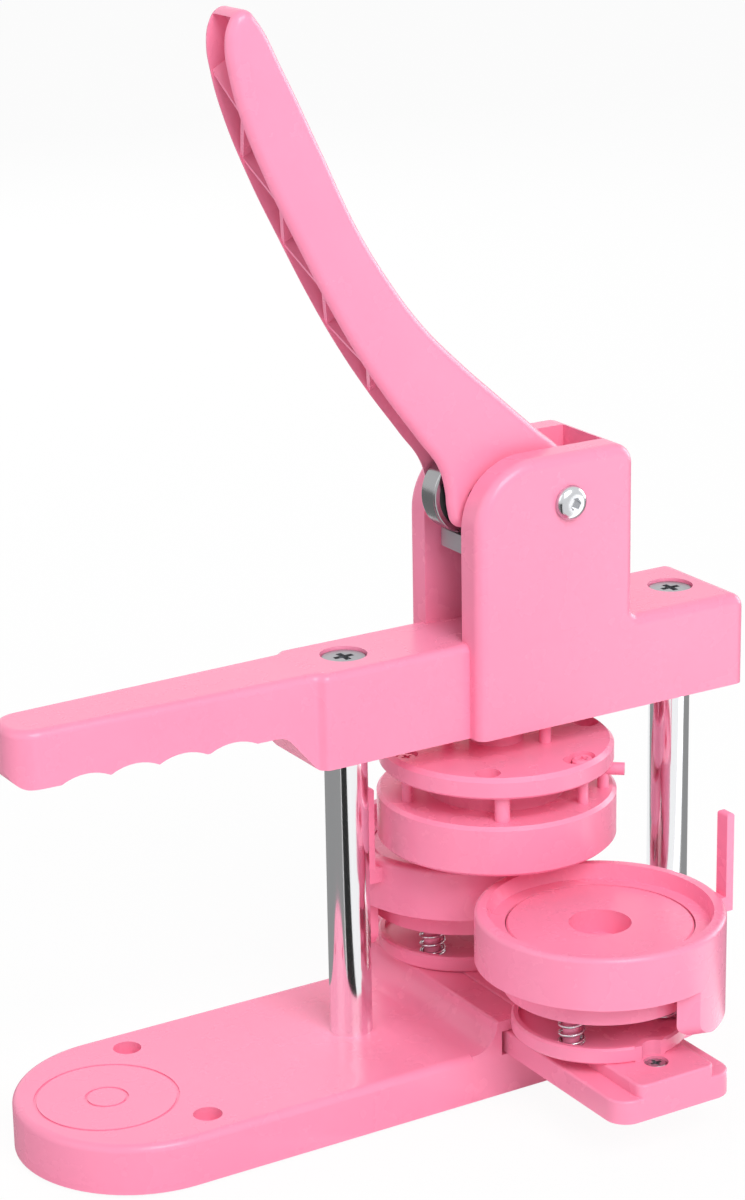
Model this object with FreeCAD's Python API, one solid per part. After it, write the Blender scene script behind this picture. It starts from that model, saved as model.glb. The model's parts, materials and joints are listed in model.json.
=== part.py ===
"""Button badge maker: a hand press with two sprung dies on a sliding plate.

Axes: +Z up, -Y toward the grip end, X along the die slide.
Origin: the ram axis where it meets the table. Sizes are in millimetres.
"""
import FreeCAD
import Part
import math
import os

V = FreeCAD.Vector

# Fits shared by all pieces
run_gap = 0.05
slide_gap = 0.3
press_gap = 0.02
seat_gap = 0.2

# Base and feet
foot_proud = 1.0
foot_sunk = 1.5
foot_r = 7.0
base_half = 39.4
base_front_y = -136.3
base_rear_y = 44.0
base_height = 16.3
base_edge = 2.5
bench_x = 27.6
bench_y = -125.8
bench_hole_r = 2.5
bench_sink_r = 4.6
bench_sink = 5.0
groove_y = -147.0
groove_radii = (23.0, 7.0)
groove_width = 0.9
groove_depth = 0.5
pocket_half = 11.0
pocket_pitch = 26.0
pocket_roof = 6.0

# Rails on the base and the die slide that runs in them
rail_half = 26.0
rail_height = 9.6
rail_fillet = 9.0
slot_half = 22.4
slot_side_gap = 1.8
slot_sink = 2.4
lip_half = 14.8
slide_flange = 7.8
slide_rib = 3.9
slide_over = 2.5
slide_corner = 7.0
stop_space = 2.4
stop_r = 2.0
stop_head_r = 3.6
stop_head = 2.6
stop_tip = 1.6

# Lower dies
ring_r = 40.0
ring_rim = 5.0
ring_height = 17.2
ring_round = 1.7
recess_r = ring_r - ring_rim
recess_depth = 5.0
die_space = 2.0
die_pitch = 2 * ring_r + die_space
front_die_x = 59.5
slide_end = ring_r + slide_over
drum_step = 8.9
drum_r = ring_r - drum_step
drum_height = 9.0
drum_floor = 3.4
tray_step = 2.8
tray_r = drum_r - tray_step
stop_reach = tray_r + stop_space
tray_height = 5.2
tray_floor = 3.2
tray_rim = 2.2
leg_count = 3
leg_inset = 10.1
leg_circle = drum_r - leg_inset
leg_r = 2.8
leg_first = -60.0
die_spring_r = 3.95
die_spring_wire = 1.1
die_spring_turns = 4
die_spring_length = 11.7
ledge_wide = 5.15
core_r = recess_r - ledge_wide
core_thick = 11.0
core_hole_r = 10.0
core_hole_depth = 8.0
core_screw_r = 1.25
core_screw_head_r = 2.6
tray_screw_r = 1.6
tray_screw_head_r = 3.1
tray_screw_y = 9.0
tray_screw_head = 3.0
tray_screw_bite = 2.4
core_screw_head = 1.8
core_screw_bite = 8.0
apron_thick = 3.5
apron_in = ring_r - apron_thick
apron_from = 16.0
apron_to = 132.0
rear_apron_from = 84.0
apron_drop = 16.5
finger_x = 9.3
finger_gap = 1.2
finger_wide = 5.2
finger_thick = 2.8
finger_rise = 26.5

# Upper die
die_daylight = 6.0
collar_inset = 0.4
collar_r = ring_r - collar_inset
collar_height = 16.9
collar_wall = 9.4
upper_core_gap = 0.6
upper_core_r = collar_r - collar_wall - upper_core_gap
upper_core_drop = 1.1
upper_core_height = 15.0
hub_step = 6.6
hub_r = upper_core_r - hub_step
hub_height = 10.0
plate_inset = 0.9
plate_r = collar_r - plate_inset
plate_thick = 7.1
lock_inset = 5.7
lock_circle = plate_r - lock_inset
lock_post_r = 2.5
lock_hole_r = 4.2
lock_first = -30.0
lock_turn = 8.0
hanger_first = -95.0
hanger_shank_r = 1.7
hanger_head_r = 3.6
hanger_head = 2.4
hanger_sink = 3.4
nub_angle = 51.0
nub_r = 2.1
nub_reach = 2.6
nub_end = collar_r + nub_reach
tab_inset = 4.4
tab_circle = collar_r - tab_inset
hanger_bite = 7.0

# Columns and press head
column_r = 7.0
column_front_y = -57.4
column_rear_y = 70.1
column_seat = 6.0
column_screw_r = 3.0
screw_depth = 14.0
base_screw_head_r = 5.0
base_screw_head = 3.4
top_head_r = 7.3
head_gap = 8.4
head_height = 31.5
beam_half = 15.4
tower_half = 21.1
tower_front_y = -19.9
tower_back_y = 40.1
tower_height = 58.7
tower_gap = 10.9
tower_back_wall = 6.0
tower_nose = 22.0
tower_edge = 3.5
rear_end_y = 85.8
boss_r = 16.0
grip_end_y = -176.4
grip_root_half = 13.0
grip_tip_half = 10.3
grip_drop = 18.4
grip_scallop = 2.0
grip_scallops = (-162.0, -145.5, -129.5, -113.0, -95.0)

# Lever, roller and ram
pivot_y = 14.6
pivot_drop = 15.7
pivot_r = 3.0
pivot_sleeve_r = 5.0
pivot_head_r = 5.2
pivot_head = 3.0
nut_r = 5.6
nut_thick = 4.5
lever_half = 8.3
lever_wall = 2.9
lever_edge = 2.4
lever_hub_r = 10.8
lever_side_gap = 0.4
roller_lead = 27.1
roller_rise = 3.2
roller_r = 13.0
roller_wide = 8.0
roller_bore = 5.0
race_inner_r = 7.2
race_outer_r = 10.9
ball_r = 1.75
ball_count = 8
axle_end_r = 3.0
ram_r = 6.0
bush_r = 8.5
ram_plate_half = 10.0
ram_plate_front = -16.0
ram_plate_back = 7.5
ram_plate_thick = 6.0
ram_spring_r = 8.4
ram_spring_wire = 2.0
ram_spring_turns = 5
guide_r = 2.0
guide_x = 12.5
guide_y = 10.9
guide_reach = 20.0
guide_seat = 4.0
ram_screw_r = 2.5
ram_head_r = 4.6
top_boss_r = 9.0
top_boss = 4.0
core_screw_sink = 7.0

# Heights built up from the table
base_z = foot_proud
deck_z = base_z + base_height
rail_z = deck_z + rail_height
slot_z = deck_z - slot_sink
slide_z = slot_z + seat_gap
flange_z = slide_z + slide_flange
lip_z = flange_z + slide_gap
rib_z = flange_z + slide_rib + (lip_z - flange_z)
tray_z = rib_z
tray_top = tray_z + tray_height
seat_z = tray_z + tray_floor
drum_z = seat_z + die_spring_length
ring_z = drum_z + drum_height
rim_z = ring_z + ring_height
ledge_z = rim_z - recess_depth
core_top = ledge_z
collar_z = rim_z + die_daylight
collar_top = collar_z + collar_height
upper_core_z = collar_z + upper_core_drop
hub_z = upper_core_z + upper_core_height
plate_z = hub_z + hub_height
plate_top = plate_z + plate_thick
head_z = plate_top + head_gap
head_top = head_z + head_height
tower_top = head_top + tower_height
grip_z = head_top - grip_drop
column_z = base_z + column_seat
column_top = head_top - 9.0
pivot_z = tower_top - pivot_drop
roller_y = pivot_y - roller_lead
roller_z = pivot_z + roller_rise
ram_plate_top = roller_z - roller_r - seat_gap
ram_plate_z = ram_plate_top - ram_plate_thick
rear_die_x = front_die_x - die_pitch
core_z = core_top - core_thick
hanger_seat = plate_top - hanger_sink

# Lever side outline from the pivot: (forward, up, corner radius)
lever_under = ((-37.1, 13.2, 5.0), (-58.1, 39.2, 90.0), (-76.1, 67.2, 120.0), (-108.0, 130.2, 50.0))
lever_tip = ((-111.6, 151.5, 9.0), (-106.6, 163.8, 4.0), (-100.2, 159.6, 6.0))
lever_back = ((-66.0, 88.4, 70.0), (-42.6, 58.3, 60.0), (-2.6, 21.2, 14.0), (13.0, 6.7, 6.0))
lever_heel = ((13.0, -11.0, 10.0), (-1.6, -11.0, 1.5), (-4.6, -8.0, 1.5), (-31.6, -7.1, 7.0))
lever_normal = (0.86, 0.51)
rib_count = 7
rib_half = 0.9


def box(x0, x1, y0, y1, z0, z1):
    """Block between two opposite corners."""
    return Part.makeBox(x1 - x0, y1 - y0, z1 - z0, V(x0, y0, z0))


def rod(radius, z0, z1, x=0.0, y=0.0):
    """Upright cylinder."""
    return Part.makeCylinder(radius, z1 - z0, V(x, y, z0))


def tube(outer, inner, z0, z1, x=0.0, y=0.0):
    """Upright sleeve."""
    return rod(outer, z0, z1, x, y).cut(rod(inner, z0, z1, x, y))


def cross_rod(radius, x0, x1, y, z):
    """Cylinder lying along X."""
    return Part.makeCylinder(radius, x1 - x0, V(x0, y, z), V(1, 0, 0))


def cross_tube(outer, inner, x0, x1, y, z):
    """Sleeve lying along X."""
    return cross_rod(outer, x0, x1, y, z).cut(cross_rod(inner, x0, x1, y, z))


def turned(profile, x=0.0, y=0.0):
    """Solid turned about a vertical axis from (radius, height) corners."""
    points = [V(r, 0, z) for r, z in profile]
    face = Part.Face(Part.makePolygon(points + points[:1]))
    solid = face.revolve(V(0, 0, 0), V(0, 0, 1), 360)
    solid.translate(V(x, y, 0))
    return solid


def polar(radius, degrees):
    """Point on a circle round the origin."""
    angle = math.radians(degrees)
    return radius * math.cos(angle), radius * math.sin(angle)


def unit(u, v):
    """Direction of length one."""
    length = math.hypot(u, v)
    return u / length, v / length


def corner_arc(before, corner, after):
    """Entry, middle and exit of the arc that rounds one outline corner."""
    u, v, radius = corner
    a = unit(before[0] - u, before[1] - v)
    b = unit(after[0] - u, after[1] - v)
    half = math.acos(a[0] * b[0] + a[1] * b[1]) / 2
    along = radius / math.tan(half)
    mid = unit(a[0] + b[0], a[1] + b[1])
    reach = radius / math.sin(half) - radius
    entry = (u + a[0] * along, v + a[1] * along)
    middle = (u + mid[0] * reach, v + mid[1] * reach)
    leave = (u + b[0] * along, v + b[1] * along)
    return entry, middle, leave


def rounded_face(corners, place):
    """Flat face inside (u, v, radius) corners; place turns (u, v) into a point."""
    stops = []
    for i, corner in enumerate(corners):
        if corner[2] > 0:
            after = corners[(i + 1) % len(corners)]
            stops.append(corner_arc(corners[i - 1], corner, after))
        else:
            spot = (corner[0], corner[1])
            stops.append((spot, None, spot))
    edges = []
    for i, (entry, middle, leave) in enumerate(stops):
        if middle:
            edges.append(Part.Arc(place(*entry), place(*middle), place(*leave)).toShape())
        start = place(*leave)
        end = place(*stops[(i + 1) % len(stops)][0])
        if start.distanceToPoint(end) > 1e-5:
            edges.append(Part.LineSegment(start, end).toShape())
    return Part.Face(Part.Wire(edges))


def slab_x(corners, x0, x1):
    """Outline of (y, z, radius) corners pulled along X."""
    face = rounded_face(corners, lambda y, z: V(x0, y, z))
    return face.extrude(V(x1 - x0, 0, 0))


def slab_z(corners, z0, z1):
    """Outline of (x, y, radius) corners pulled upward."""
    face = rounded_face(corners, lambda x, y: V(x, y, z0))
    return face.extrude(V(0, 0, z1 - z0))


def soften(shape, radius, chosen):
    """Round every edge that the chosen test accepts."""
    return shape.makeFillet(radius, [edge for edge in shape.Edges if chosen(edge)])


def level_edge(edge, z):
    """Whether an edge lies at one height."""
    bounds = edge.BoundBox
    return abs(bounds.ZMin - z) < 1e-4 and abs(bounds.ZMax - z) < 1e-4


def face_edge(edge, x):
    """Whether an edge lies in one upright plane across X."""
    bounds = edge.BoundBox
    return abs(abs(bounds.XMin) - x) < 1e-4 and abs(abs(bounds.XMax) - x) < 1e-4


def fused(shapes):
    """One solid from overlapping shapes."""
    body = shapes[0].multiFuse(shapes[1:])
    return body.removeSplitter()


def biarc(start, start_way, end, end_way):
    """Two arcs that leave start and reach end along the given unit directions."""
    across = end - start
    ways = start_way + end_way
    a = 2 * (1 - start_way.dot(end_way))
    b = 2 * across.dot(ways)
    reach = (math.sqrt(b * b + 4 * a * across.dot(across)) - b) / (2 * a)
    first = start + start_way * reach
    last = end - end_way * reach
    joint = (first + last) * 0.5
    arcs = []
    for head, knee, tail in ((start, first, joint), (joint, last, end)):
        chord = (head + tail) * 0.5
        lean = knee - chord
        half = (tail - head).Length / 2
        sag = half * math.tan(math.atan2(lean.Length, half) / 2)
        arcs.append(Part.Arc(head, chord + lean * (sag / lean.Length), tail).toShape())
    return arcs


def coil(name, radius, wire, turns, z0, z1, x, y):
    """Compression spring: one tube swept along biarcs of a quarter turn each."""
    low = z0 + wire / 2
    pitch = (z1 - z0 - wire) / turns
    quarters = turns * 4

    def place(step):
        angle = step * math.pi / 2
        spot = V(radius * math.cos(angle), radius * math.sin(angle), low + step * pitch / 4)
        way = V(-math.sin(angle), math.cos(angle), pitch / (2 * math.pi * radius))
        return spot, way.normalize()

    arcs = []
    for step in range(quarters):
        arcs += biarc(*place(step), *place(step + 1))
    path = Part.Wire(arcs)
    spot, way = place(0)
    ring = Part.Wire(Part.Circle(spot, way, wire / 2).toShape())
    body = path.makePipeShell([ring], True, False)
    points = [place(step / 4)[0] for step in range(quarters * 4)]
    gap = min((p - q).Length for i, p in enumerate(points) for q in points[i + 9:]) - wire
    print(name, "least gap to itself", round(gap, 2), "mm")
    body.translate(V(x, y, 0))
    return body


def cross_recess(x, y, top, reach, depth):
    """Cross-shaped driver recess in a screw head."""
    thick = reach * 0.3
    bar = box(x - reach, x + reach, y - thick, y + thick, top - depth, top)
    return bar.fuse(box(x - thick, x + thick, y - reach, y + reach, top - depth, top))


def base_piece():
    """Moulded base with rails, bench holes, column sockets and cored underside."""
    front = base_front_y - base_half
    rear = base_rear_y + base_half
    outline = [(-base_half, front, base_half), (base_half, front, base_half),
               (base_half, rear, base_half), (-base_half, rear, base_half)]
    body = slab_z(outline, base_z, deck_z)
    body = soften(body, base_edge, lambda edge: level_edge(edge, deck_z))
    foot = rail_half + rail_fillet + 0.5
    root = deck_z - base_edge - 1.0
    rails = slab_x([(-foot, root, 0), (-foot, deck_z, 0), (-rail_half, deck_z, rail_fillet),
                    (-rail_half, rail_z, 1.2), (rail_half, rail_z, 1.2),
                    (rail_half, deck_z, rail_fillet), (foot, deck_z, 0), (foot, root, 0)],
                   -base_half, base_half)
    body = body.fuse(rails)
    slot = slot_half + slot_side_gap
    cuts = [box(-base_half - 1, base_half + 1, -slot, slot, slot_z, lip_z),
            box(-base_half - 1, base_half + 1, -lip_half, lip_half, deck_z, rail_z + 1)]
    groove_start = stop_reach - stop_r - slide_gap
    for side in (-1, 1):
        ends = sorted((side * groove_start, side * (base_half + 1)))
        half = stop_r + slide_gap
        cuts.append(box(ends[0], ends[1], -half, half, slide_z - stop_tip - slide_gap, deck_z + 1))
        cuts.append(rod(bench_hole_r, base_z - 1, deck_z + 1, side * bench_x, bench_y))
        cuts.append(rod(bench_sink_r, deck_z - bench_sink, deck_z + 1, side * bench_x, bench_y))
    for radius in groove_radii:
        cuts.append(tube(radius, radius - groove_width, deck_z - groove_depth, deck_z + 1, 0, groove_y))
    for y in (column_front_y, column_rear_y):
        cuts.append(rod(column_r + press_gap, column_z, deck_z + 1, 0, y))
        cuts.append(rod(column_screw_r + slide_gap, base_z - 1, column_z + 1, 0, y))
        cuts.append(rod(base_screw_head_r + slide_gap, base_z - 1, base_z + base_screw_head, 0, y))
    for x, y in foot_places():
        cuts.append(rod(foot_r + press_gap, base_z - 1, base_z + foot_sunk, x, y))
    cuts += underside_pockets()
    for cut in cuts:
        body = body.cut(cut)
    return body


def foot_places():
    """Centres of the rubber feet: one under the ram and four at the corners."""
    corner = base_half - foot_r - 8.0
    return [(0, 0)] + [(side * corner, y) for side in (-1, 1) for y in (base_front_y - 8, base_rear_y)]


def underside_pockets():
    """Cored pockets between ribs, left out where sockets, holes or feet need solid behind them."""
    keep = [(x, y, foot_r + 2) for x, y in foot_places()]
    keep += [(0, y, column_r + 4) for y in (column_front_y, column_rear_y)]
    keep += [(side * bench_x, bench_y, bench_sink_r + 3) for side in (-1, 1)]
    pockets = []
    rows = int((base_rear_y - base_front_y) / pocket_pitch) + 1
    for row in range(rows):
        y = base_front_y + 6 + row * pocket_pitch
        for x in (-pocket_pitch / 2, pocket_pitch / 2):
            near = [math.hypot(max(abs(x - a) - pocket_half, 0), max(abs(y - b) - pocket_half, 0)) - r
                    for a, b, r in keep]
            if min(near) > 0:
                pockets.append(box(x - pocket_half, x + pocket_half, y - pocket_half, y + pocket_half,
                                   base_z - 1, deck_z - pocket_roof))
    return pockets


def rubber_feet():
    """Five round feet pressed into the underside."""
    return Part.makeCompound([rod(foot_r, 0, base_z + foot_sunk, x, y) for x, y in foot_places()])


def column(y):
    """Chromed column with chamfered ends and a threaded hole in each end."""
    bar = rod(column_r, column_z, column_top, 0, y)
    bar = bar.makeChamfer(0.6, [e for e in bar.Edges if len(e.Vertexes) == 1])
    low = rod(column_screw_r + press_gap, column_z, column_z + screw_depth + 1, 0, y)
    high = rod(column_screw_r + press_gap, column_top - screw_depth - 1, column_top, 0, y)
    return bar.cut(low).cut(high)


def column_base_screws():
    """Cap screws that hold the columns from below."""
    screws = []
    for y in (column_front_y, column_rear_y):
        seat = base_z + base_screw_head
        screw = turned([(0, seat - base_screw_head + 0.5), (base_screw_head_r, seat - base_screw_head + 0.5),
                        (base_screw_head_r, seat), (column_screw_r, seat),
                        (column_screw_r, column_z + screw_depth), (0, column_z + screw_depth)], 0, y)
        socket = rod(2.0, seat - base_screw_head, seat - base_screw_head + 2.0, 0, y)
        screws.append(screw.cut(socket))
    return Part.makeCompound(screws)


def column_top_screws():
    """Countersunk cross-head screws in the tops of the columns."""
    screws = []
    top = head_top - 0.9
    cone = top - 0.6 - (top_head_r - column_screw_r)
    for y in (column_front_y, column_rear_y):
        screw = turned([(0, column_top - screw_depth), (column_screw_r, column_top - screw_depth),
                        (column_screw_r, cone), (top_head_r, top - 0.6), (top_head_r, top - 0.2),
                        (top_head_r - 0.5, top), (0, top)], 0, y)
        screws.append(screw.cut(cross_recess(0, y, top, 3.4, 2.2)))
    return Part.makeCompound(screws)


def press_head():
    """Grip, beam and forked tower in one moulding."""
    tower = slab_x([(tower_front_y, head_z, 0), (rear_end_y, head_z, 0), (rear_end_y, head_top, 5),
                    (tower_back_y, head_top, 3), (tower_back_y, tower_top, 7),
                    (tower_front_y, tower_top, tower_nose)], -tower_half, tower_half)
    tower = soften(tower, tower_edge, lambda e: face_edge(e, tower_half) and not level_edge(e, head_z))
    body = tower.fuse(grip_and_beam())
    cuts = [box(-tower_gap, tower_gap, tower_front_y - 1, tower_back_y - tower_back_wall, head_top, tower_top + 1),
            rod(bush_r + press_gap, head_z - 1, head_top + 1),
            cross_rod(pivot_r + run_gap, -tower_half - 1, tower_half + 1, pivot_y, pivot_z),
            cross_rod(pivot_head_r + slide_gap, tower_half - 2.2, tower_half + 1, pivot_y, pivot_z),
            cross_rod(nut_r + slide_gap, -tower_half - 1, -tower_half + nut_thick + 1.5, pivot_y, pivot_z)]
    for sign in (-1, 1):
        cuts.append(rod(guide_r + slide_gap, head_z - 1, head_z + guide_reach, sign * guide_x, sign * guide_y))
        cuts.append(box(sign * 10 - 5.5, sign * 10 + 5.5, bush_r + 14, column_rear_y - column_r - 6,
                        head_z - 1, head_top - 7))
    cone = head_top - 1.5 - (top_head_r - column_screw_r)
    for y in (column_front_y, column_rear_y):
        cuts.append(rod(column_r + press_gap, head_z - 1, column_top, 0, y))
        cuts.append(turned([(0, column_top - 1), (column_screw_r + slide_gap, column_top - 1),
                            (column_screw_r + slide_gap, cone), (top_head_r + slide_gap, head_top - 1.5),
                            (top_head_r + slide_gap, head_top + 1), (0, head_top + 1)], 0, y))
    for cut in cuts:
        body = body.cut(cut)
    return body


def grip_and_beam():
    """Front half of the head: the beam, the boss round the front column and the tapering grip."""
    inside = tower_front_y + 10
    front = column_front_y - boss_r - 1.5
    jog = beam_half - grip_root_half
    half_plan = [(beam_half, inside, 0), (beam_half, front + jog, 3), (grip_root_half, front, 3),
                 (grip_tip_half, grip_end_y, 9)]
    mirrored = [(-x, y, r) for x, y, r in reversed(half_plan)]
    plan = slab_z(half_plan + mirrored, head_z, head_top)
    side = slab_x([(inside, head_z, 0), (inside, head_top, 0), (grip_end_y, head_top, 0),
                   (grip_end_y, grip_z, 5), (front - 11, grip_z, 6), (front, head_z, 2)],
                  -tower_half, tower_half)
    body = plan.common(side)
    reach = 8.0
    radius = (reach * reach + grip_scallop * grip_scallop) / (2 * grip_scallop)
    middles = [(a + b) / 2 for a, b in zip(grip_scallops, grip_scallops[1:])]
    for y in middles:
        body = body.cut(cross_rod(radius, -tower_half, tower_half, y, grip_z - radius + grip_scallop))
    return soften(body, 2.6, lambda e: level_edge(e, head_top) and e.BoundBox.YMax < inside - 1e-3)


def ram_bush():
    """Plain bearing for the ram shaft."""
    return tube(bush_r, ram_r + run_gap, head_z, head_top)


def pivot_bolt():
    """Button-head bolt that the lever turns on."""
    seat = tower_half - 2.2
    end = -tower_half + 1.0
    shank = cross_rod(pivot_r, end, seat, pivot_y, pivot_z)
    head = cross_rod(pivot_head_r, seat, seat + pivot_head, pivot_y, pivot_z)
    head = soften(head, 1.9, lambda e: abs(e.BoundBox.XMin - seat - pivot_head) < 1e-4)
    socket = Part.Face(Part.makePolygon([V(seat + 1, pivot_y + polar(2.2, a)[0], pivot_z + polar(2.2, a)[1])
                                         for a in range(0, 361, 60)])).extrude(V(pivot_head, 0, 0))
    return shank.fuse(head.cut(socket))


def pivot_nut():
    """Lock nut in the far cheek."""
    inner = -tower_half + nut_thick + 1.5
    points = [V(inner, pivot_y + polar(nut_r, a)[0], pivot_z + polar(nut_r, a)[1]) for a in range(0, 361, 60)]
    nut = Part.Face(Part.makePolygon(points)).extrude(V(-nut_thick, 0, 0))
    return nut.cut(cross_rod(pivot_r + press_gap, inner - nut_thick - 1, inner + 1, pivot_y, pivot_z))


def from_pivot(corners, shift=0.0):
    """Lever corners in the side view, pushed inward along the handle's normal."""
    return [(pivot_y + y + shift * lever_normal[0], pivot_z + z + shift * lever_normal[1], r)
            for y, z, r in corners]


def lever_piece():
    """Hand lever: a channel open underneath, braced by a zigzag of ribs, on a wide hub."""
    outline = from_pivot(lever_under) + from_pivot(lever_tip) + from_pivot(lever_back) + from_pivot(lever_heel)
    body = slab_x(outline, -lever_half, lever_half)
    body = soften(body, lever_edge, lambda e: face_edge(e, lever_half))
    inner = lever_half - lever_wall
    back = [(y, z, 0) for y, z, r in from_pivot(lever_back[:3], -lever_wall)]
    tip_y, tip_z, _ = from_pivot(lever_tip[2:], -lever_wall)[0]
    tip = [(tip_y - 9.0, tip_z - 9.0, 4), (tip_y, tip_z - 9.0, 2)]
    far = from_pivot(lever_under, -30.0)
    room = slab_x([(roller_y + roller_r + 3, pivot_z - 30, 0), (roller_y - 30, pivot_z - 30, 0)]
                  + [(y, z, 0) for y, z, r in far] + tip + back
                  + [(roller_y + roller_r + 3, back[-1][1] - 12, 0)], -inner, inner)
    near = [(y, z, 0) for y, z, r in from_pivot(lever_under[1:], 3.0)]
    braced = slab_x(near + tip + back[:2], -inner, inner)
    body = body.cut(room).fuse(lever_ribs(inner).common(braced))
    hub_half = tower_gap - lever_side_gap
    body = body.fuse(cross_rod(lever_hub_r, -hub_half, hub_half, pivot_y, pivot_z))
    body = body.cut(cross_rod(pivot_sleeve_r + press_gap, -hub_half - 1, hub_half + 1, pivot_y, pivot_z))
    return body.cut(cross_rod(axle_end_r + press_gap, -hub_half, hub_half, roller_y, roller_z))


def lever_ribs(inner):
    """Thin plates that zigzag between the two side walls of the lever."""
    low_y, low_z, _ = from_pivot(lever_under[1:2])[0]
    high_y, high_z, _ = from_pivot(lever_under[3:4])[0]
    depth = V(0, lever_normal[0], lever_normal[1])
    plates = []
    for i in range(rib_count):
        ends = []
        for j in (i, i + 1):
            part = j / rib_count
            side = inner if j % 2 else -inner
            ends.append(V(side, low_y + (high_y - low_y) * part, low_z + (high_z - low_z) * part))
        along = ends[1] - ends[0]
        thick = along.cross(depth).normalize() * rib_half
        start = ends[0] - along * 0.1 - depth * 5
        end = ends[1] + along * 0.1 - depth * 5
        loop = Part.makePolygon([start - thick, end - thick, end + thick, start + thick, start - thick])
        plates.append(Part.Face(loop).extrude(depth * 40))
    return plates[0].multiFuse(plates[1:])


def pivot_sleeve():
    """Steel sleeve that turns on the pivot bolt."""
    half = tower_gap - lever_side_gap
    return cross_tube(pivot_sleeve_r, pivot_r + run_gap, -half, half, pivot_y, pivot_z)


def roller_axle():
    """Stepped axle held in the two lever walls."""
    inner = lever_half - lever_wall
    shaft = cross_rod(axle_end_r, -lever_half, lever_half, roller_y, roller_z)
    return shaft.fuse(cross_rod(roller_bore, -inner, inner, roller_y, roller_z))


def axle_spacers():
    """Thin sleeves between the bearing and the lever walls."""
    inner = lever_half - lever_wall
    half = roller_wide / 2
    outer = race_inner_r - 0.4
    return Part.makeCompound([cross_tube(outer, roller_bore + press_gap, a, b, roller_y, roller_z)
                              for a, b in ((-inner, -half), (half, inner))])


def ball_groove():
    """Ring-shaped room that the balls run in."""
    middle = (race_inner_r + race_outer_r) / 2
    room = Part.makeTorus(middle, ball_r + 0.1, V(0, roller_y, roller_z), V(1, 0, 0))
    return room


def bearing_inner_race():
    """Inner race on the axle."""
    half = roller_wide / 2
    return cross_tube(race_inner_r, roller_bore + press_gap, -half, half, roller_y, roller_z).cut(ball_groove())


def bearing_outer_race():
    """Outer race: the rolling surface that presses on the ram."""
    half = roller_wide / 2
    race = cross_rod(roller_r, -half, half, roller_y, roller_z)
    race = soften(race, 0.8, lambda e: face_edge(e, half))
    race = race.cut(cross_rod(race_outer_r, -half - 1, half + 1, roller_y, roller_z))
    return race.cut(ball_groove())


def bearing_seals():
    """Two rubber seals snapped into the outer race."""
    half = roller_wide / 2
    seals = []
    for a, b in ((-half + 0.3, -half + 1.1), (half - 1.1, half - 0.3)):
        seals.append(cross_tube(race_outer_r - press_gap, race_inner_r + 0.3, a, b, roller_y, roller_z))
    return Part.makeCompound(seals)


def bearing_balls():
    """Steel balls between the races."""
    middle = (race_inner_r + race_outer_r) / 2
    balls = []
    for i in range(ball_count):
        y, z = polar(middle, i * 360 / ball_count)
        balls.append(Part.makeSphere(ball_r, V(0, roller_y + y, roller_z + z)))
    return Part.makeCompound(balls)


def ram_shaft():
    """Ground shaft that carries the upper die."""
    shaft = rod(ram_r, plate_z + 2.0, ram_plate_z)
    shaft = shaft.cut(rod(ram_screw_r + press_gap, plate_z + 1, plate_z + 2.0 + screw_depth))
    return shaft.cut(rod(ram_screw_r + press_gap, ram_plate_z - screw_depth, ram_plate_z))


def pressure_plate():
    """Hardened plate under the roller."""
    half = ram_plate_half
    plate = slab_z([(-half, ram_plate_front, 4), (half, ram_plate_front, 4),
                    (half, ram_plate_back, 2), (-half, ram_plate_back, 2)], ram_plate_z, ram_plate_top)
    return plate.cut(countersink(ram_plate_top, ram_plate_z - 1, ram_screw_r + slide_gap, ram_head_r + slide_gap))


def countersink(top, bottom, shank, head):
    """Hole for a countersunk screw, entered from above."""
    return turned([(0, bottom), (shank, bottom), (shank, top - (head - shank)), (head, top),
                   (head, top + 1), (0, top + 1)])


def pressure_plate_screw():
    """Countersunk screw from the pressure plate into the ram."""
    top = ram_plate_top - 0.2
    low = ram_plate_z - screw_depth + 1
    screw = turned([(0, low), (ram_screw_r, low), (ram_screw_r, top - (ram_head_r - ram_screw_r)),
                    (ram_head_r, top), (0, top)])
    return screw.cut(cross_recess(0, 0, top, 2.0, 1.4))


def arc_slot(circle, half, start, sweep, z0, z1):
    """Curved slot with round ends on a circle round the ram axis."""
    outer = Part.makeCylinder(circle + half, z1 - z0, V(0, 0, z0), V(0, 0, 1), sweep)
    ring = outer.cut(rod(circle - half, z0 - 1, z1 + 1))
    ring.rotate(V(0, 0, 0), V(0, 0, 1), start)
    ends = [rod(half, z0, z1, *polar(circle, angle)) for angle in (start, start + sweep)]
    return ring.fuse(ends[0]).fuse(ends[1])


def thirds(first):
    """Three angles a third of a turn apart."""
    return [first + i * 120 for i in range(3)]


def upper_die_plate():
    """Plate on the ram with lock holes and curved hanger slots."""
    body = turned([(0, hub_z), (hub_r, hub_z), (hub_r, plate_z), (plate_r - 0.8, plate_z), (plate_r, plate_z + 0.8),
                   (plate_r, plate_top - 1.4), (plate_r - 1.4, plate_top), (top_boss_r, plate_top),
                   (top_boss_r, plate_top + top_boss), (0, plate_top + top_boss)])
    cuts = [rod(ram_r + press_gap, plate_z + 2.0, plate_top + top_boss + 1),
            rod(ram_screw_r + slide_gap, hub_z - 1, plate_z + 3)]
    for sign in (-1, 1):
        cuts.append(rod(guide_r + press_gap, plate_top - guide_seat, plate_top + 1, sign * guide_x, sign * guide_y))
    for angle in thirds(lock_first - lock_turn):
        cuts.append(rod(lock_hole_r, plate_z - 1, plate_top + 1, *polar(lock_circle, angle)))
    for angle in thirds(hanger_first):
        start = angle - lock_turn
        shank = hanger_shank_r + slide_gap
        cuts.append(arc_slot(lock_circle, shank, start, lock_turn, plate_z - 1, plate_top + 1))
        cuts.append(arc_slot(lock_circle, hanger_head_r + slide_gap, start, lock_turn, hanger_seat, plate_top + 1))
    for cut in cuts:
        body = body.cut(cut)
    return body


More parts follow.
